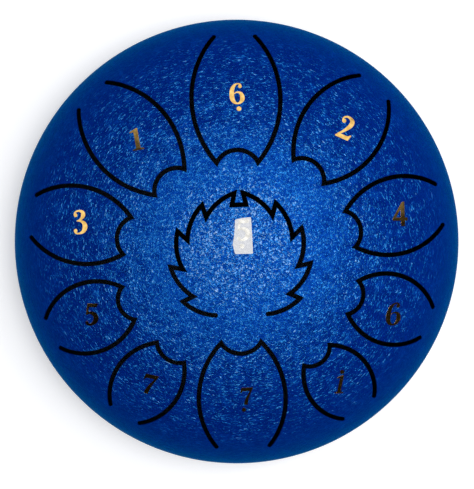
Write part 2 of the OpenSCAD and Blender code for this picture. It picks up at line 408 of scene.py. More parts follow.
def outlineLoops(node, side):
    # the loops round the solid's painted face, with their heights above the rim
    mesh = frame["nodes"][node].data
    place = readAll(mesh.vertices, "co", 3)
    mesh.calc_loop_triangles()
    keys, merged = np.unique(np.round(place * microns).astype(int), axis=0, return_inverse=True)
    corners = merged.reshape(-1)[readAll(mesh.loop_triangles, "vertices", 3, int)]
    point = keys / microns
    height = side * (point[:, 2] - dome["rimHeight"])
    radius = np.hypot(point[:, 0], point[:, 1])
    outer = np.abs(surfaceDepth(radius, height)) < edge["offSurface"]
    corners = corners[outer[corners].all(1)]
    if side < 0:
        corners = corners[:, ::-1]
    ahead = {}
    edges = set()
    for a, b, c in corners:
        edges.update(((a, b), (b, c), (c, a)))
    for a, b in edges:
        if (b, a) not in edges:
            ahead.setdefault(a, []).append(b)
    return [(point[loop, :2], height[loop]) for loop in walkLoops(ahead)]


def loopSteps(loop):
    ahead = np.roll(loop, -1, 0) - loop
    return ahead, np.hypot(ahead[:, 0], ahead[:, 1])


def evenOut(loop):
    # fewer points where the outline is straight, more where it turns, and every corner kept
    loop = loop[loopSteps(loop)[1] > edge["shortest"]]
    ahead, length = loopSteps(loop)
    heading = np.arctan2(ahead[:, 1], ahead[:, 0])
    turn = np.abs((heading - np.roll(heading, 1) + math.pi) % (2 * math.pi) - math.pi)
    first = int(np.argmax(turn))
    order = [(first + i) % len(loop) for i in range(len(loop))]
    kept = [loop[first]]
    run, bent = 0.0, 0.0
    for i, j in zip(order, order[1:] + order[:1]):
        run += length[i]
        bent += turn[j]
        far = run >= edge["longest"] * edge["longShare"] or bent >= math.radians(edge["turn"])
        if far and j != first:
            kept.append(loop[j])
            run, bent = 0.0, 0.0
    dense = []
    for a, b in zip(kept, kept[1:] + kept[:1]):
        pieces = max(1, math.ceil(np.hypot(*(b - a)) / edge["longest"]))
        dense.extend(a + (b - a) * k / pieces for k in range(pieces))
    return np.array(dense)


joints = {joint["child"]: joint for joint in frame["joints"]}
rootPoints = {}


def rootLine(tongue):
    way = np.array(joints[tongue]["axis"][:2])
    return np.array(joints[tongue]["pos_m"][:2]), way / np.hypot(*way)


def closeRoot(loop, tongue):
    # the part of an outline that lies on a tongue's root line, put on it, with the same points on both sides
    middle, way = rootLine(tongue)
    away = loop - middle
    off = np.abs(away @ (-way[1], way[0]))
    along = away @ way
    near = off < edge["rootTouch"]
    if tongue in rootPoints:
        ends = rootPoints[tongue]
        near &= along > ends[:, 0].min() - edge["rootPast"]
        near &= along < ends[:, 0].max() + edge["rootPast"]
    if near.sum() < 2:
        return loop, np.zeros(len(loop), bool)
    start = next(i for i in range(len(loop)) if near[i] and not near[i - 1])
    loop, near, along = (np.roll(v, -start, 0) for v in (loop, near, along))
    count = next(i for i in range(len(near)) if not near[i])
    if tongue not in rootPoints:
        pieces = max(2, round(abs(along[count - 1] - along[0]) / edge["longest"]))
        spots = np.linspace(along[0], along[count - 1], pieces + 1)
        rootPoints[tongue] = np.column_stack((spots, middle + spots[:, None] * way))
    spots = rootPoints[tongue]
    if (along[count - 1] - along[0]) * (spots[-1, 0] - spots[0, 0]) < 0:
        spots = spots[::-1]
    closed = np.vstack((spots[:, 1:], loop[count:]))
    return closed, np.arange(len(closed)) < len(spots)


def insetWays(loop):
    # unit steps into the material, longer at corners so that the inset stays even
    ahead, length = loopSteps(loop)
    ahead /= length[:, None]
    left = np.column_stack((-ahead[:, 1], ahead[:, 0]))
    both = left + np.roll(left, 1, 0)
    size = np.hypot(both[:, 0], both[:, 1])
    both /= np.maximum(size, tiny)[:, None]
    stretch = 1.0 / np.maximum((both * left).sum(1), edge["sharpest"])
    return both, stretch


class Shell:
    # a flat sheet of the dome's wall with its cut edges, built up ring by ring
    def __init__(self):
        self.points = []
        self.faces = []
        self.inside = []
        self.turns = []
        self.outerRings = []
        self.innerRings = []

    def add(self, flat, depth):
        first = len(self.points)
        depth = np.broadcast_to(np.asarray(depth, float), (len(flat),))
        self.points.extend(zip(flat[:, 0], flat[:, 1], depth))
        return list(range(first, first + len(flat)))

    def face(self, corners, rules, inside=False):
        kept = [(c, r) for i, (c, r) in enumerate(zip(corners, rules)) if c != corners[i - 1]]
        if len(kept) < 3:
            return
        self.faces.append([c for c, r in kept])
        self.turns.extend(r for c, r in kept)
        self.inside.append(inside)

    def strip(self, upper, lower, upperRules, lowerRules):
        for i in range(len(upper)):
            j = (i + 1) % len(upper)
            self.face(
                [upper[i], lower[i], lower[j], upper[j]],
                [upperRules[i], lowerRules[i], lowerRules[j], upperRules[j]],
            )

    def close(self, rows, loop, depth, wall):
        # joins the rings of a rounded edge, and drops a wall from the last of them
        for (upper, upperRules), (lower, lowerRules) in zip(rows, rows[1:]):
            self.strip(upper, lower, upperRules, lowerRules)
        under = self.add(unroll(loop, depth), depth)
        self.strip(rows[-1][0], under, wall, wall)
        self.outerRings.append(rows[0][0])
        self.innerRings.append(under)

    def cut(self, loop, root, rounding):
        # a rounded edge and an upright wall; the root line stays sharp
        into, stretch = insetWays(loop)
        away = np.full(len(loop), 1.0)
        if root.any():
            gaps = loop[:, None] - loop[root][None]
            away = np.clip(np.hypot(gaps[..., 0], gaps[..., 1]).min(1) / edge["roundFade"], 0, 1)
        size = rounding * away
        rows = []
        for turn in edge["roundSteps"]:
            lean = math.radians(turn)
            inset = size * (1 - math.sin(lean)) * stretch
            depth = size * (1 - math.cos(lean))
            plan = loop + into * inset[:, None]
            ring = self.add(unroll(plan, depth), depth)
            if rows:
                ring = [rows[0][0][i] if away[i] == 0 else ring[i] for i in range(len(ring))]
            leans = [0.0 if rooted else lean for rooted in root]
            rules = [(math.cos(a), *(-way * math.sin(a)), 0.0) for a, way in zip(leans, into)]
            rows.append((ring, rules))
        self.close(rows, loop, dome["wall"], [(0.0, *-way, 0.0) for way in into])

    def rim(self):
        # the edge at the weld: a groove's slope and a flat lip
        around = circle(dome["rimSteps"])
        end = shoulderEnd + dome["skirt"]
        rows = ((end - dome["groove"], 0.0), (end, dome["groove"]), (end, dome["wall"]))
        rings = [self.add(around * along, depth) for along, depth in rows]
        slope = [(1.0, 0.0, 0.0, -1.0)] * len(around)
        lip = [(0.0, 0.0, 0.0, -1.0)] * len(around)
        self.strip(rings[0], rings[1], slope, slope)
        self.strip(rings[1], rings[2], lip, lip)
        self.outerRings.append(rings[0])
        self.innerRings.append(rings[2])

    def fill(self, rings, inside, depth, step):
        # triangles over the sheet between its rings, on a staggered grid
        index = [i for ring in rings for i in ring]
        flat = np.array([self.points[i][:2] for i in index])
        edges = []
        for ring in rings:
            first, count = len(edges), len(ring)
            edges.extend([(first + i, first + (i + 1) % count) for i in range(count)])
        low, high = flat.min(0), flat.max(0)
        rowStep = step * math.sqrt(0.75)
        xs = np.arange(math.floor(low[0] / step), math.ceil(high[0] / step) + 1)
        ys = np.arange(math.floor(low[1] / rowStep), math.ceil(high[1] / rowStep) + 1)
        grid = np.array([((x + 0.5 * (y % 2)) * step, y * rowStep) for y in ys for x in xs])
        near = kdtree.KDTree(len(flat))
        for i, p in enumerate(flat):
            near.insert((p[0], p[1], 0.0), i)
        near.balance()
        grid = grid[[near.find((g[0], g[1], 0.0))[2] > step * edge["gridClear"] for g in grid]]
        grid = grid[insideRings(grid, flat, edges)]
        index.extend(self.add(grid, depth))
        allPoints = np.vstack((flat, grid)) * perMetre
        found = delaunay_2d_cdt([Vector(p) for p in allPoints], edges, [], 1, edge["mergeWithin"], True)
        triangles, origin = found[2], found[3]
        known = [ids[0] if ids else -1 for ids in origin]
        if min(known) < 0:
            raise RuntimeError("two outlines cross in the flat sheet")
        triangles = np.array([[known[i] for i in t] for t in triangles])
        kept = insideRings(allPoints[triangles].mean(1) / perMetre, flat, edges)
        # a triangle on a ring's own edge is sure to lie on one side of it, even where it's a sliver
        following = np.roll(triangles, -1, 1)
        ringSteps = [a * len(allPoints) + b for a, b in edges]
        kept |= np.isin(triangles * len(allPoints) + following, ringSteps).any(1)
        kept &= ~np.isin(following * len(allPoints) + triangles, ringSteps).any(1)
        triangles = triangles[kept]
        rule = (-1.0, 0.0, 0.0, 0.0) if inside else (1.0, 0.0, 0.0, 0.0)
        for a, b, c in triangles:
            corners = [index[a], index[c], index[b]] if inside else [index[a], index[b], index[c]]
            self.face(corners, [rule] * 3, inside)

    def finish(self, name, outside, inner, side=1.0, top=0.0, bottom=dome["wall"], step=edge["gridStep"]):
        self.fill(self.outerRings, False, top, step)
        self.fill(self.innerRings, True, bottom, step)
        used = sorted({c for f in self.faces for c in f})
        new = {old: i for i, old in enumerate(used)}
        points = [self.points[i] for i in used]
        faces = [[new[c] for c in f] for f in self.faces]
        turns = np.array(self.turns, float) * (1, 1, 1, side)
        return wrapOnDome(name, points, faces, self.inside, turns, outside, inner, side)


def insideRings(points, flat, edges, batch=2000):
    # even-odd test of points against closed rings
    start = flat[[e[0] for e in edges]]
    stop = flat[[e[1] for e in edges]]
    rise = stop[:, 1] - start[:, 1]
    rise = np.where(rise == 0, tiny, rise)
    result = np.zeros(len(points), bool)
    for first in range(0, len(points), batch):
        part = points[first : first + batch]
        y = part[:, 1:2]
        crosses = (start[None, :, 1] > y) != (stop[None, :, 1] > y)
        x = start[:, 0] + (y - start[:, 1]) * (stop[:, 0] - start[:, 0]) / rise
        result[first : first + batch] = (crosses & (part[:, 0:1] < x)).sum(1) % 2 == 1
    return result


# blue metallic paint with a fine grain: worm-like flecks in the middle that turn into short strokes round the
# dome, and a smooth shoulder; the lighter flecks are partly the paint's grain and partly painted highlights
# of the lamp on its bumps, thinning out towards the rim, and the middle is painted lighter as a painted
# highlight
paint = {
    "deep": (0.0005, 0.0155, 0.190),
    "light": (0.0015, 0.052, 0.365),
    "paintedHighlightReach": (0.02, 0.10),  # radii, as for every reach below; over them the middle of the dome is painted lighter as a painted highlight
    # painted highlight: how much lighter the middle is painted, turning darker towards the rim
    "paintedHighlightLift": (0.32, -0.18),
    "toneFrom": (0.2, 0.85),
    "toneGrain": 0.5,
    "toneLevel": 0.25,
    "cloud": (170.0, 3.0, 0.6),  # scale, detail, roughness
    "cloudTone": (1.1, 0.5),
    "fleckAndHighlight": (0.020, 0.262, 0.68),
    # whitish flecks on the highest bumps: partly the paint's grain, partly painted highlight
    "whiteFleckAndHighlight": (0.52, 0.64, 0.90),
    "grainSize": 0.0012,
    "strokeWidth": 0.0010,
    "strokesAround": 42.0,
    "twist": 1.2,
    "wander": (1.0, 0.5),  # detail and roughness of the grain
    "pole": 0.001,  # radius inside which the strokes no longer tighten
    "grainHeight": 0.0007,
    "strokesReach": (0.025, 0.065),
    # flecks thin out towards the rim: partly the paint's grain, partly painted highlights that fewer bumps
    # catch on the steeper dome
    "fleckAndHighlightReach": (0.0, 0.105),
    "fleckAndHighlightLevel": (0.41, 0.58),
    "fleckEdge": 0.18,
    # fewer flecks in the middle, which tones down the painted highlights there
    "middleFleckAndHighlightReach": (0.03, 0.06),
    "middleFleckAndHighlightShare": 0.72,
    "whiteStep": 0.125,
    "whiteShare": 0.6,
    "smoothReach": (0.095, 0.118),
    "patchiness": 0.12,
    "metal": 0.6,
    "fleckMetal": 0.3,
    "roughness": 0.44,
    "roughDrift": 0.1,
    "edgeTint": (0.14, 0.80, 0.80, 1.0),
}
noGloss = {"Specular IOR Level": 0.0, "Specular Tint": paint["edgeTint"]}


def newMaterial(name):
    made = bpy.data.materials.new(name)
    made.use_nodes = True
    made.node_tree.nodes.clear()
    return made, Sheet(made.node_tree)


def finishMaterial(sheet, values):
    surface = sheet.node("ShaderNodeBsdfPrincipled", inputs=values)
    sheet.node("ShaderNodeOutputMaterial", inputs={"Surface": surface}, output=None)


def makeFinish(name, look, shader=None):
    # one cloud drifts the colour and the roughness, and raises the bump where there's no finer grain
    made, sheet = newMaterial(name)
    place = sheet.node("ShaderNodeTexCoord", output="Object")
    cloud = sheet.noise(place, *look["cloud"])
    values = {
        "Base Color": sheet.mix(cloud.ramp(*look["from"]), (*look["dark"], 1.0), (*look["light"], 1.0)),
        "Metallic": look["metal"],
        "Roughness": look["rough"] + cloud * look["drift"] if look["drift"] else look["rough"],
    }
    if "bump" in look:
        raised = sheet.noise(place, *look["grain"]) if "grain" in look else cloud
        values["Normal"] = sheet.bump(raised, *look["bump"])
    finishMaterial(sheet, {**values, **(shader or {})})
    return made


def makePaint():
    made, sheet = newMaterial("flecked_blue_paint")
    place = sheet.node("ShaderNodeTexCoord", output="Object")
    x, y, z = sheet.split(place)
    radius = (x * x + y * y).maths("SQRT").higher(paint["pole"])
    run = radius - (z - dome["rimHeight"]).maths("ABSOLUTE")
    around = paint["strokesAround"]
    rings = sheet.join(x / radius * around, y / radius * around, run / paint["strokeWidth"])
    strokes = sheet.noise(rings, 1.0, *paint["wander"], paint["twist"])
    grain = sheet.noise(place, 1.0 / paint["grainSize"], *paint["wander"], paint["twist"])
    cloud = sheet.noise(place, *paint["cloud"])
    height = grain + (strokes - grain) * radius.ramp(*paint["strokesReach"])
    # painted highlight: the paint is lighter at the top of the dome, where the lamp's reflection falls, and
    # darker further out
    paintedMiddleHighlight = radius.ramp(*paint["paintedHighlightReach"], *paint["paintedHighlightLift"])
    spots = (cloud - 0.5) * radius.ramp(*paint["smoothReach"], *paint["cloudTone"])
    tone = (spots + height * paint["toneGrain"] + paint["toneLevel"] + paintedMiddleHighlight).ramp(*paint["toneFrom"])
    colour = sheet.mix(tone, (*paint["deep"], 1.0), (*paint["light"], 1.0))
    # flecks at the bump tops, thinning towards the rim and gone on the shoulder: partly the paint's grain and
    # partly painted highlights of the lamp
    level = radius.ramp(*paint["fleckAndHighlightReach"], *paint["fleckAndHighlightLevel"]) - (cloud - 0.5) * paint["patchiness"]
    share = radius.ramp(*paint["smoothReach"], 1.0, 0.0)
    share = share * radius.ramp(*paint["middleFleckAndHighlightReach"], paint["middleFleckAndHighlightShare"], 1.0)
    fleckAndHighlight = ((height - level) / paint["fleckEdge"]).ramp(0.0, 1.0) * share
    colour = sheet.mix(fleckAndHighlight, colour, (*paint["fleckAndHighlight"], 1.0))
    # whitish flecks on the highest bumps: partly the paint's grain, partly painted highlight
    white = ((height - level - paint["whiteStep"]) / paint["fleckEdge"]).ramp(0.0, 1.0)
    white = white * fleckAndHighlight * paint["whiteShare"]
    colour = sheet.mix(white, colour, (*paint["whiteFleckAndHighlight"], 1.0))
    finishMaterial(
        sheet,
        {
            "Base Color": colour,
            "Metallic": paint["metal"] + fleckAndHighlight * paint["fleckMetal"],
            "Roughness": paint["roughness"] + cloud * paint["roughDrift"],
            "Normal": sheet.bump(height, 1.0, paint["grainHeight"]),
            **noGloss,
        },
    )
    return made


# the drum's inside: bare steel painted near-black, a painted shade for the dark inside of the closed drum
# that the slots show
shadedInsideSteel = {
    "cloud": (60.0, 4.0, 0.6),
    "from": (0.35, 0.7),
    "dark": (0.012, 0.016, 0.028),
    "light": (0.030, 0.034, 0.048),
    "metal": 0.4,
    "rough": 0.55,
    "drift": 0.2,
}
drumPaint = makePaint()
insideSteelAndShade = makeFinish("bare_steel_inside_painted_shade", shadedInsideSteel)
print("paint mixed")


# the two domes and the eleven tongues
def outlineCuts(node, side):
    # the weld's edge is left out
    least = dome["skirt"] + edge["rimBand"]
    return [evenOut(plan) for plan, height in outlineLoops(node, side) if height.mean() >= least]


def makeTongue(tongue):
    shell = Shell()
    for loop in outlineCuts(tongue, 1.0):
        loop, root = closeRoot(loop, tongue)
        shell.cut(loop, root, edge["round"])
    piece = shell.finish(tongue + "_skin", drumPaint, insideSteelAndShade)
    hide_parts(tongue)
    start = Vector(joints[tongue]["pos_m"])
    low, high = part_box(tongue)
    way = rootLine(tongue)[1]
    across = Vector((-way[1], way[0], 0.0))
    if across.dot((low + high) / 2 - start) < 0:
        across = -across
    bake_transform(piece)


def makeUpperDome():
    shell = Shell()
    for loop in outlineCuts("top_shell", 1.0):
        root = np.zeros(len(loop), bool)
        for tongue in joints:
            if not root.any():
                loop, root = closeRoot(loop, tongue)
        shell.cut(loop, root, edge["round"])
    shell.rim()
    piece = shell.finish("upper_dome_skin", drumPaint, insideSteelAndShade)
    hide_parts("top_shell")
    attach(piece, "drum")


def makeLowerDome():
    shell = Shell()
    for loop in outlineCuts("bottom_shell", -1.0):
        rounding = edge["screwHoleRound"]
        if np.ptp(np.hypot(loop[:, 0], loop[:, 1])) < edge["offCircle"]:
            loop = dome["soundHole"] * circle(dome["soundHoleSteps"]) * (1, -1)
            rounding = edge["soundHoleRound"]
        shell.cut(loop, np.zeros(len(loop), bool), rounding)
    shell.rim()
    piece = shell.finish("lower_dome_skin", drumPaint, insideSteelAndShade, -1.0)
    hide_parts("bottom_shell")
    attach(piece, "drum")


for name in joints:
    makeTongue(name)
print("tongues laid over the dome")
makeUpperDome()
makeLowerDome()
print("domes made")


# transfer numbers: each is drawn with pen strokes (x, y, half width) and plain outlines, one unit tall
pen = {"steps": 8, "ballSteps": 24}


def penStroke(*points):
    points = np.array(points, float)
    padded = np.vstack((2 * points[0] - points[1], points, 2 * points[-1] - points[-2]))
    line = []
    for a, b, c, d in zip(padded, padded[1:], padded[2:], padded[3:]):
        square, cube = 2 * a - 5 * b + 4 * c - d, 3 * b - a - 3 * c + d
        for t in np.arange(pen["steps"]) / pen["steps"]:
            line.append((2 * b + (c - a) * t + square * t**2 + cube * t**3) / 2)
    line.append(points[-1])
    line = np.array(line)
    ahead = np.gradient(line[:, :2], axis=0)
    ahead /= np.hypot(ahead[:, 0], ahead[:, 1])[:, None]
    left = np.column_stack((-ahead[:, 1], ahead[:, 0])) * line[:, 2:]
    return np.vstack((line[:, :2] - left, (line[:, :2] + left)[::-1]))


def ball(x, y, radius):
    return radius * circle(pen["ballSteps"]) + (x, y)


def outline(*points):
    return np.array(points, float)


numberShapes = {
    "1": [
        outline((0.22, 0.02), (0.42, 0.02), (0.42, 1.0), (0.36, 1.0), (0.22, 0.90)),
        outline((0.04, 0.82), (0.24, 0.84), (0.39, 1.0), (0.35, 1.0), (0.04, 0.88)),
        outline((0.06, 0.0), (0.58, 0.0), (0.58, 0.05), (0.44, 0.09), (0.20, 0.09), (0.06, 0.05)),
    ],
    "2": [
        ball(0.15, 0.745, 0.090),
        penStroke(
            *((0.07, 0.76, 0.020), (0.10, 0.88, 0.036), (0.22, 0.962, 0.044), (0.37, 0.945, 0.066)),
            *((0.49, 0.85, 0.094), (0.495, 0.69, 0.096), (0.40, 0.49, 0.072), (0.25, 0.28, 0.046)),
            (0.10, 0.12, 0.032),
        ),
        outline(
            *((0.02, 0.0), (0.60, 0.0), (0.68, 0.27), (0.63, 0.27)),
            *((0.56, 0.19), (0.45, 0.175), (0.14, 0.175), (0.02, 0.06)),
        ),
    ],
    "3": [
        ball(0.145, 0.79, 0.080),
        penStroke(
            *((0.075, 0.80, 0.020), (0.14, 0.92, 0.034), (0.29, 0.966, 0.038), (0.44, 0.91, 0.072)),
            *((0.47, 0.78, 0.092), (0.40, 0.65, 0.058), (0.27, 0.565, 0.030), (0.18, 0.55, 0.018)),
        ),
        penStroke(
            *((0.20, 0.555, 0.018), (0.37, 0.535, 0.042), (0.51, 0.43, 0.086), (0.54, 0.27, 0.104)),
            *((0.46, 0.11, 0.074), (0.30, 0.032, 0.036), (0.15, 0.045, 0.032), (0.07, 0.13, 0.022)),
        ),
        ball(0.135, 0.145, 0.080),
    ],
    "4": [
        outline((0.36, 0.0), (0.54, 0.0), (0.54, 1.0), (0.47, 1.0), (0.36, 0.84)),
        outline((0.01, 0.26), (0.12, 0.30), (0.50, 0.91), (0.48, 1.0), (0.43, 0.99), (0.01, 0.33)),
        outline((0.01, 0.22), (0.66, 0.22), (0.66, 0.36), (0.06, 0.36), (0.01, 0.33)),
    ],
    "5": [
        outline((0.15, 1.0), (0.18, 0.83), (0.58, 0.83), (0.63, 1.0)),
        outline((0.14, 1.0), (0.07, 0.50), (0.16, 0.49), (0.25, 1.0)),
        penStroke(
            *((0.09, 0.53, 0.028), (0.24, 0.585, 0.058), (0.42, 0.54, 0.096), (0.53, 0.41, 0.112)),
            *((0.52, 0.25, 0.112), (0.40, 0.11, 0.078), (0.24, 0.052, 0.050), (0.10, 0.085, 0.038)),
        ),
        ball(0.12, 0.135, 0.082),
    ],
    "6": [
        ball(0.495, 0.845, 0.085),
        penStroke(
            *((0.555, 0.87, 0.020), (0.49, 0.95, 0.034), (0.36, 0.968, 0.034), (0.23, 0.885, 0.064)),
            *((0.135, 0.71, 0.094), (0.108, 0.46, 0.106), (0.135, 0.235, 0.100), (0.235, 0.085, 0.066)),
            *((0.36, 0.035, 0.036), (0.485, 0.085, 0.062), (0.575, 0.21, 0.096), (0.585, 0.35, 0.098)),
            *((0.53, 0.495, 0.076), (0.42, 0.565, 0.042), (0.30, 0.555, 0.026), (0.20, 0.48, 0.018)),
        ),
    ],
    "7": [
        outline((0.04, 0.80), (0.62, 0.80), (0.70, 0.92), (0.70, 1.0), (0.06, 1.0)),
        outline((0.01, 0.70), (0.07, 0.70), (0.15, 0.84), (0.07, 1.0), (0.04, 0.98)),
        penStroke(
            *((0.655, 0.93, 0.040), (0.53, 0.68, 0.058), (0.41, 0.41, 0.084), (0.34, 0.17, 0.106)),
            (0.32, 0.0, 0.108),
        ),
    ],
    "dot": [ball(0.5, 0.5, 0.5)],
}

# each number: its shape, the tongue that it's on, its middle seen from above, its height, its turn and slant
numbers = {
    "low_6_number": ("6", "tongue_low_6", (0.0017, 0.0806), 0.0119, 0.0, 0.0),
    "low_6_dot": ("dot", "tongue_low_6", (0.0025, 0.0721), 0.0026, 0.0, 0.0),
    "low_7_number": ("7", "tongue_low_7", (0.0026, -0.0842), 0.0098, 2.0, 0.06),
    "low_7_dot": ("dot", "tongue_low_7", (0.0008, -0.0919), 0.0024, 0.0, 0.0),
    "number_1": ("1", "tongue_1", (-0.0535, 0.0573), 0.0122, 9.0, 0.0),
    "number_2": ("2", "tongue_2", (0.0609, 0.0606), 0.0130, -25.0, 0.0),
    "number_3": ("3", "tongue_3", (-0.0855, 0.0132), 0.0132, 0.0, 0.0),
    "number_4": ("4", "tongue_4", (0.0890, 0.0128), 0.0134, 0.0, 0.0),
    "number_5": ("5", "tongue_5", (-0.0809, -0.0375), 0.0124, 0.0, 0.04),
    "number_6": ("6", "tongue_6", (0.0840, -0.0419), 0.0126, 0.0, 0.16),
    "number_7": ("7", "tongue_7", (-0.0502, -0.0766), 0.0112, -13.0, 0.10),
    "high_1_number": ("1", "tongue_high_1", (0.0533, -0.0796), 0.0102, 0.0, 0.20),
    "high_1_dot": ("dot", "tongue_high_1", (0.0551, -0.0727), 0.0024, 0.0, 0.0),
}
foil = {
    "proud": 0.00004,
    "sunk": 0.00020,
    "edge": 0.00005,
    "edgeSteps": (0, 45, 90),  # degrees
    "steepness": 0.15,
    "step": 0.00025,
    "gridStep": 0.0008,
    "mergeWithin": 1e-5,
    "cloud": (420.0, 2.0, 0.5),
    "from": (0.3, 0.75),
    "drift": 0.08,
    "bump": (0.2, 0.0002),
}
gold = {**foil, "dark": (0.62, 0.36, 0.09), "light": (0.90, 0.58, 0.19), "metal": 1.0, "rough": 0.06}
# the label's number: gold foil painted pale cream, a painted highlight standing in for the lamp's washed-out
# reflection on it
paintedHighlightGoldLook = {**foil, "dark": (0.52, 0.50, 0.46), "light": (0.84, 0.81, 0.74), "metal": 0.35, "rough": 0.42}


def joinShapes(shapes):
    # one outline, or several, round all the shapes together, with the material on the left
    points, faces = [], []
    for shape in shapes:
        area = np.cross(shape, np.roll(shape, -1, 0)).sum()
        shape = shape if area > 0 else shape[::-1]
        faces.append(list(range(len(points), len(points) + len(shape))))
        points.extend(shape)
    found = delaunay_2d_cdt([Vector(p) for p in points], [], faces, 1, foil["mergeWithin"], True)
    places, triangles, parents = found[0], found[2], found[5]
    edges = {}
    for triangle, parent in zip(triangles, parents):
        if parent:
            for a, b in zip(triangle, triangle[1:] + triangle[:1]):
                edges.setdefault(a, []).append(b)
    ahead = {}
    for a, ends in edges.items():
        for b in ends:
            if a not in edges.get(b, []):
                ahead.setdefault(a, []).append(b)
    return [np.array([places[i] for i in loop]) for loop in walkLoops(ahead)]


def softenLoop(loop, spacing, least=8):
    # even points along a loop, with its corners a little rounded
    total = np.concatenate(([0], np.cumsum(loopSteps(loop)[1])))
    count = max(least, round(total[-1] / spacing))
    spots = np.arange(count) * total[-1] / count
    closed = np.vstack((loop, loop[:1]))
    even = np.column_stack([np.interp(spots, total, closed[:, k]) for k in range(2)])
    return even * 0.5 + (np.roll(even, 1, 0) + np.roll(even, -1, 0)) * 0.25


class Film(Shell):
    # a thin film on the paint: a soft upper edge and an underside sunk in the paint
    def border(self, loop, proud, sunk, soft):
        into = insetWays(loop)[0]
        rows = []
        for turn in foil["edgeSteps"]:
            lean = math.radians(turn)
            inset = soft * (1 - math.sin(lean))
            depth = -proud * math.cos(lean)
            ring = self.add(unroll(loop + into * inset, depth), depth)
            steep = foil["steepness"] * math.sin(lean)
            rows.append((ring, [(1.0, *(-way * steep), 0.0) for way in into]))
        self.close(rows, loop, sunk, [(1.0, *(-way * foil["steepness"]), 0.0) for way in into])


def filmOnDome(name, loops, proud, look, material):
    film = Film()
    for loop in loops:
        film.border(loop, proud, look["sunk"], look["edge"])
    step = look["gridStep"]
    return film.finish(name, material, material, top=-proud, bottom=look["sunk"], step=step)


def layNumber(name, shape, tongue, middle, height, turn, slant, proud, face):
    loops = joinShapes([s + s[:, 1:] * (slant, 0) for s in numberShapes[shape]])
    everything = np.vstack(loops)
    centre = (everything.min(0) + everything.max(0)) / 2
    loops = [softenLoop((loop - centre) * height, foil["step"]) for loop in loops]
    loops = [turned(loop, turn) + middle for loop in loops]
    number = filmOnDome(name, loops, proud, foil, face)
    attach(number, tongue)


goldFoil = makeFinish("gold_foil", gold)
# painted highlight: pale foil for the label's gold number
paintedHighlightGoldFoil = makeFinish("gold_foil_painted_highlight", paintedHighlightGoldLook)
for name, row in numbers.items():
    layNumber(name, *row, foil["proud"], goldFoil)
print("gold numbers laid on the tongues")


# the white label under the middle tongue's number, with its outline in millimetres
label = {
    "outline": (
        *((-4.4, -9.9), (5.1, -9.6), (4.6, 0.5), (3.9, 9.9)),
        *((-0.6, 9.4), (-4.6, 8.5), (-4.9, 1.0), (-5.8, -5.0)),
    ),
    "middle": (0.0028, 0.0034),
    "turn": -2.0,
    "proud": 0.00003,
    "sunk": 0.00020,
    "edge": 0.0001,
    "step": 0.0005,
    "gridStep": 0.0015,
    "numbers": {
        "low_5_number": ("5", "tongue_low_5", (0.0029, 0.0062), 0.0116, 0.0, 0.0),
        "low_5_dot": ("dot", "tongue_low_5", (0.0018, -0.0022), 0.0026, 0.0, 0.0),
    },
    "cloud": (700.0, 4.0, 0.65),
    "from": (0.3, 0.7),
    "dark": (0.60, 0.60, 0.63),
    "light": (0.76, 0.76, 0.78),
    "metal": 0.0,
    "rough": 0.62,
    "drift": 0.0,
    "bump": (0.3, 0.00005),
}


def makeLabel():
    loop = turned(np.array(label["outline"]) / perMetre, label["turn"]) + label["middle"]
    loop = softenLoop(loop, label["step"])
    piece = filmOnDome("paper_label", [loop], label["proud"], label, makeFinish("white_paper", label))
    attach(piece, "tongue_low_5")


makeLabel()
# the label's number in pale foil, a painted highlight
for name, row in label["numbers"].items():
    layNumber(name, *row, foil["proud"] + label["proud"], paintedHighlightGoldFoil)
print("label and its number laid on the middle tongue")


# the weld bead: one ripple after another round the rim, by geometry nodes
weld = {
    "ripples": 330,
    "stepsPerRipple": 4,
    "stepsAcross": 14,
    "halfHeight": 0.0020,
    "proud": 0.00036,
    "root": 0.0011,  # how far it reaches into the groove
    "rippleDepth": 0.00007,
    "rippleBow": 2.2,
    "patches": 14.0,
    "patchPlace": 3.0,
    "patchNoise": (1.0, 2.0, 0.5),  # scale, detail, roughness
    "patchProud": (0.82, 0.2),
    "patchHeight": (0.94, 0.08),
    "mergeWithin": 0.00001,
    "cloud": (400.0, 3.0, 0.6),
    "from": (0.3, 0.7),
    "dark": (0.0006, 0.014, 0.130),
    "light": (0.0010, 0.030, 0.220),
    "metal": 0.5,
    "rough": 0.42,
    "drift": 0.1,
    "bump": (0.3, 0.0002),
}


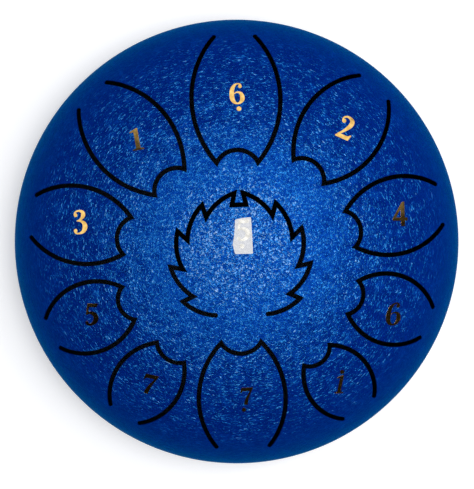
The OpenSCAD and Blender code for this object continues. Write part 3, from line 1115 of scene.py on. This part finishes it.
def weldTree():
    tree, sheet, wire = newTree(
        "weld bead",
        Int=("Ripples", "Steps Around", "Steps Across"),
        Float=("Rim Radius", "Rim Height", "Half Height", "Proud", "Root", "Ripple Depth", "Ripple Bow"),
        Material=("Material",),
    )
    steps = {"Vertices X": wire["Steps Around"], "Vertices Y": wire["Steps Across"]}
    flat = sheet.node("GeometryNodeMeshGrid", inputs={"Size X": 1.0, "Size Y": 1.0, **steps})
    place = sheet.split(sheet.node("GeometryNodeInputPosition"))
    around, section = place[0] * (2 * math.pi), place[1] * (2 * math.pi)
    out = section.cosine()
    front = out.higher(0.0)
    bow = section.sine() * section.sine() * wire["Ripple Bow"]
    wave = (around * wire["Ripples"] + bow).sine()
    patches = weld["patches"]
    patchPlace = sheet.join(around.cosine() * patches, around.sine() * patches, weld["patchPlace"])
    uneven = sheet.noise(patchPlace, *weld["patchNoise"])
    least, share = weld["patchProud"]
    proud = wire["Proud"] * (least + uneven * share) + wave * wire["Ripple Depth"] - wire["Ripple Depth"]
    radius = wire["Rim Radius"] + front * proud + out.lower(0.0) * wire["Root"]
    least, share = weld["patchHeight"]
    height = wire["Rim Height"] + section.sine() * wire["Half Height"] * (least + uneven * share)
    spot = sheet.join(around.cosine() * radius, around.sine() * radius, height)
    bead = sheet.node("GeometryNodeSetPosition", inputs={"Geometry": flat, "Position": spot})
    closing = {"Geometry": bead, "Distance": weld["mergeWithin"]}
    bead = sheet.node("GeometryNodeMergeByDistance", inputs=closing)
    bead = sheet.node("GeometryNodeSetShadeSmooth", inputs={"Geometry": bead, "Shade Smooth": True})
    bead = sheet.node("GeometryNodeRealizeInstances", inputs={0: bead})
    sheet.node("NodeGroupOutput", inputs={0: sheet.cover(bead, wire["Material"])}, output=None)
    return tree


def makeWeld():
    values = {
        "Ripples": weld["ripples"],
        "Steps Around": weld["ripples"] * weld["stepsPerRipple"] + 1,
        "Steps Across": weld["stepsAcross"] + 1,
        "Rim Radius": dome["drumRadius"],
        "Rim Height": dome["rimHeight"],
        "Half Height": weld["halfHeight"],
        "Proud": weld["proud"],
        "Root": weld["root"],
        "Ripple Depth": weld["rippleDepth"],
        "Ripple Bow": weld["rippleBow"],
        "Material": makeFinish("painted_weld", weld, noGloss),
    }
    piece = runNodes("weld_bead", bpy.data.meshes.new("weld_flat"), weldTree(), values)
    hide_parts("seam_weld")
    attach(piece, "drum")


makeWeld()
print("weld laid")


# rubber and zinc on the solids that stay
rubber = {
    "cloud": (120.0, 3.0, 0.6),
    "from": (0.3, 0.75),
    "dark": (0.018, 0.018, 0.020),
    "light": (0.040, 0.040, 0.043),
    "metal": 0.0,
    "rough": 0.62,
    "drift": 0.18,
    "grain": (2600.0, 2.0, 0.5),
    "bump": (0.35, 0.0002),
}
zinc = {
    "cloud": (500.0, 4.0, 0.6),
    "from": (0.3, 0.7),
    "dark": (0.52, 0.54, 0.57),
    "light": (0.72, 0.73, 0.74),
    "metal": 1.0,
    "rough": 0.26,
    "drift": 0.16,
}
feetRubber = makeFinish("moulded_rubber", rubber)
zincPlating = makeFinish("zinc_plating", zinc)
for name, solid in frame["nodes"].items():
    if name.startswith("foot_") or name == "damping_washers":
        metal = name in ("foot_screws", "foot_washers", "foot_nuts")
        solid.data.materials.clear()
        solid.data.materials.append(zincPlating if metal else feetRubber)
print("feet and fasteners finished")


# studio: a white floor, one large soft lamp overhead, and a dim room with a bright window and doorway; the
# floor is painted near-black under the drum and loses its glow close to it, as painted shadow
studio = {
    "lampPlace": (0.62, -0.06, 1.56),
    "lampAim": (0.0, 0.0, 0.1),
    "lampSize": 1.25,
    "lampPower": 13.5,
    "roomTint": (0.93, 0.96, 1.0),
    "roomTop": 1.15,  # glow overhead
    "roomSide": 0.012,
    "roomLean": (0.75, -0.22),  # brighter to the right and to the front
    "topFrom": (0.66, 0.92),
    "bandFrom": (0.36, 0.48),  # how far up the window and the doorway begin and end
    "bandTo": (0.68, 0.80),
    "bandGlow": 1.4,
    "window": (0.290, 0.957),  # the way to it, seen from above
    "windowEdge": (0.31, 0.66),
    "doorway": (-0.993, 0.122),
    "doorwayEdge": (0.78, 0.81),
    "backdrop": 1.05,  # the room as the camera sees it
    "backdropTo": (0.16, 0.26),
    "floorReach": 12.0,
    "floorTone": (0.82, 0.82, 0.82),
    "floorGlow": 0.5,
    # painted shadow: the floor's glow fades out close round the drum
    "shadeReach": (0.115, 0.150),
    # painted shadow: the floor is painted near-black under the drum
    "paintedShadowTone": (0.01, 0.01, 0.01),
    "paintedShadowReach": (0.040, 0.085),
}


def makeFloor():
    made, sheet = newMaterial("white_floor")
    place = sheet.node("ShaderNodeTexCoord", output="Object")
    away = sheet.node("ShaderNodeVectorMath", {"operation": "LENGTH"}, {0: place}, "Value")
    # painted shadow: near-black floor colour under the drum
    clearOfPaintedShadow = away.ramp(*studio["paintedShadowReach"])
    tone = sheet.mix(clearOfPaintedShadow, (*studio["paintedShadowTone"], 1.0), (*studio["floorTone"], 1.0))
    lit = sheet.node("ShaderNodeBsdfDiffuse", inputs={"Color": tone})
    seen = sheet.ray("Camera", "Glossy", "Transmission")
    # painted shadow: no glow close to the drum
    strength = seen * away.ramp(*studio["shadeReach"]) * studio["floorGlow"]
    glow = sheet.node("ShaderNodeEmission", inputs={"Color": (1.0, 1.0, 1.0, 1.0), "Strength": strength})
    both = sheet.node("ShaderNodeAddShader", inputs={0: lit, 1: glow})
    underneath = sheet.node("ShaderNodeNewGeometry", output="Backfacing")
    clear = sheet.node("ShaderNodeBsdfTransparent")
    both = sheet.node("ShaderNodeMixShader", inputs={0: underneath, 1: both, 2: clear})
    sheet.node("ShaderNodeOutputMaterial", inputs={"Surface": both}, output=None)
    mesh = bpy.data.meshes.new("floor")
    corners = np.array(((-1, -1, 0), (1, -1, 0), (1, 1, 0), (-1, 1, 0))) * studio["floorReach"]
    mesh.from_pydata(corners.tolist(), [], [(0, 1, 2, 3)])
    floor = bpy.data.objects.new("floor", mesh)
    mesh.materials.append(made)
    scene.collection.objects.link(floor)


def makeRoom():
    room = bpy.data.worlds.new("studio_room")
    scene.world = room
    room.use_nodes = True
    room.node_tree.nodes.clear()
    sheet = Sheet(room.node_tree)
    across, back, up = sheet.split(sheet.node("ShaderNodeTexCoord", output="Generated"))
    lean, window, doorway = (
        studio[way][0] * across + studio[way][1] * back for way in ("roomLean", "window", "doorway")
    )
    rising = up.ramp(*studio["topFrom"], studio["roomSide"], studio["roomTop"]) * (1.0 + lean)
    opening = window.ramp(*studio["windowEdge"]).higher(doorway.ramp(*studio["doorwayEdge"]))
    band = up.ramp(*studio["bandFrom"]) * up.ramp(*studio["bandTo"], 1.0, 0.0) * opening
    backdrop = up.ramp(*studio["backdropTo"], studio["backdrop"], 0.0)
    light = rising + band * studio["bandGlow"] + sheet.ray("Glossy", "Transmission") * backdrop
    looked = sheet.ray("Camera")
    light = light * (1.0 - looked) + looked * studio["backdrop"]
    glow = sheet.node("ShaderNodeBackground", inputs={"Color": (*studio["roomTint"], 1.0), "Strength": light})
    sheet.node("ShaderNodeOutputWorld", inputs={"Surface": glow}, output=None)


def makeLamp():
    lamp = bpy.data.lights.new("overhead_softbox", "AREA")
    lamp.shape = "SQUARE"
    lamp.size = studio["lampSize"]
    lamp.energy = studio["lampPower"]
    holder = bpy.data.objects.new("overhead_softbox", lamp)
    scene.collection.objects.link(holder)
    holder.location = studio["lampPlace"]
    aim = Vector(studio["lampAim"]) - holder.location
    holder.rotation_euler = aim.to_track_quat("-Z", "Y").to_euler()


makeFloor()
makeRoom()
makeLamp()
scene.view_settings.view_transform = "Standard"
print("studio lit")
